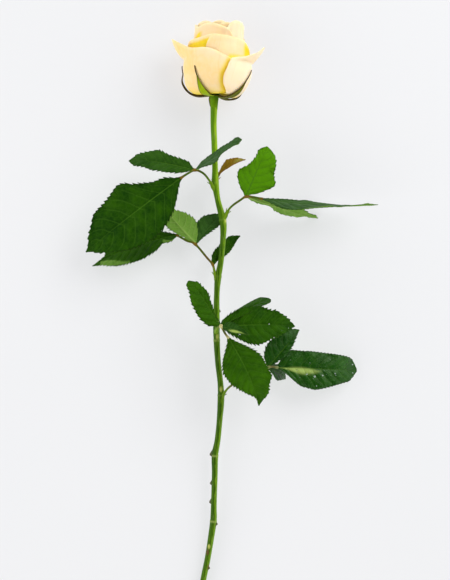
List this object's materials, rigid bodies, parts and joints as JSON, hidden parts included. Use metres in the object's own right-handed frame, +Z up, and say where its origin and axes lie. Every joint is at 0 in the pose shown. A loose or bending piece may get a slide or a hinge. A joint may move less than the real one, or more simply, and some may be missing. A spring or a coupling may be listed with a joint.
{
  "type": "cut rose",
  "caption": "Cut rose lying down: a half-open cream bloom in a green calyx on a long stem with pinnate serrated leaves.",
  "frame": {"origin": "middle of the rose's footprint, on the surface it lies on", "axes": "+Y along the stem towards the bloom, +Z up away from the surface, +X to the right seen from above with the bloom at the top"},
  "size_m": [0.19, 0.3989, 0.053],
  "materials": {
    "stem": "smooth green bark, satin",
    "calyx": "satin green with brown edges",
    "petals": "velvety and slightly translucent",
    "leaves": "waxy semi-gloss above, paler and matte below",
    "young_leaf": "satin bronze"
  },
  "bodies": {
    "root": {"stem": "stem", "calyx": "calyx", "bloom": "petals", "leaf_upper_left": "leaves", "leaf_upper_right": "leaves", "leaf_middle_left": "leaves", "leaf_front": "leaves", "leaf_lower_right": "leaves", "young_leaf": "young_leaf"}
  },
  "joints": []
}
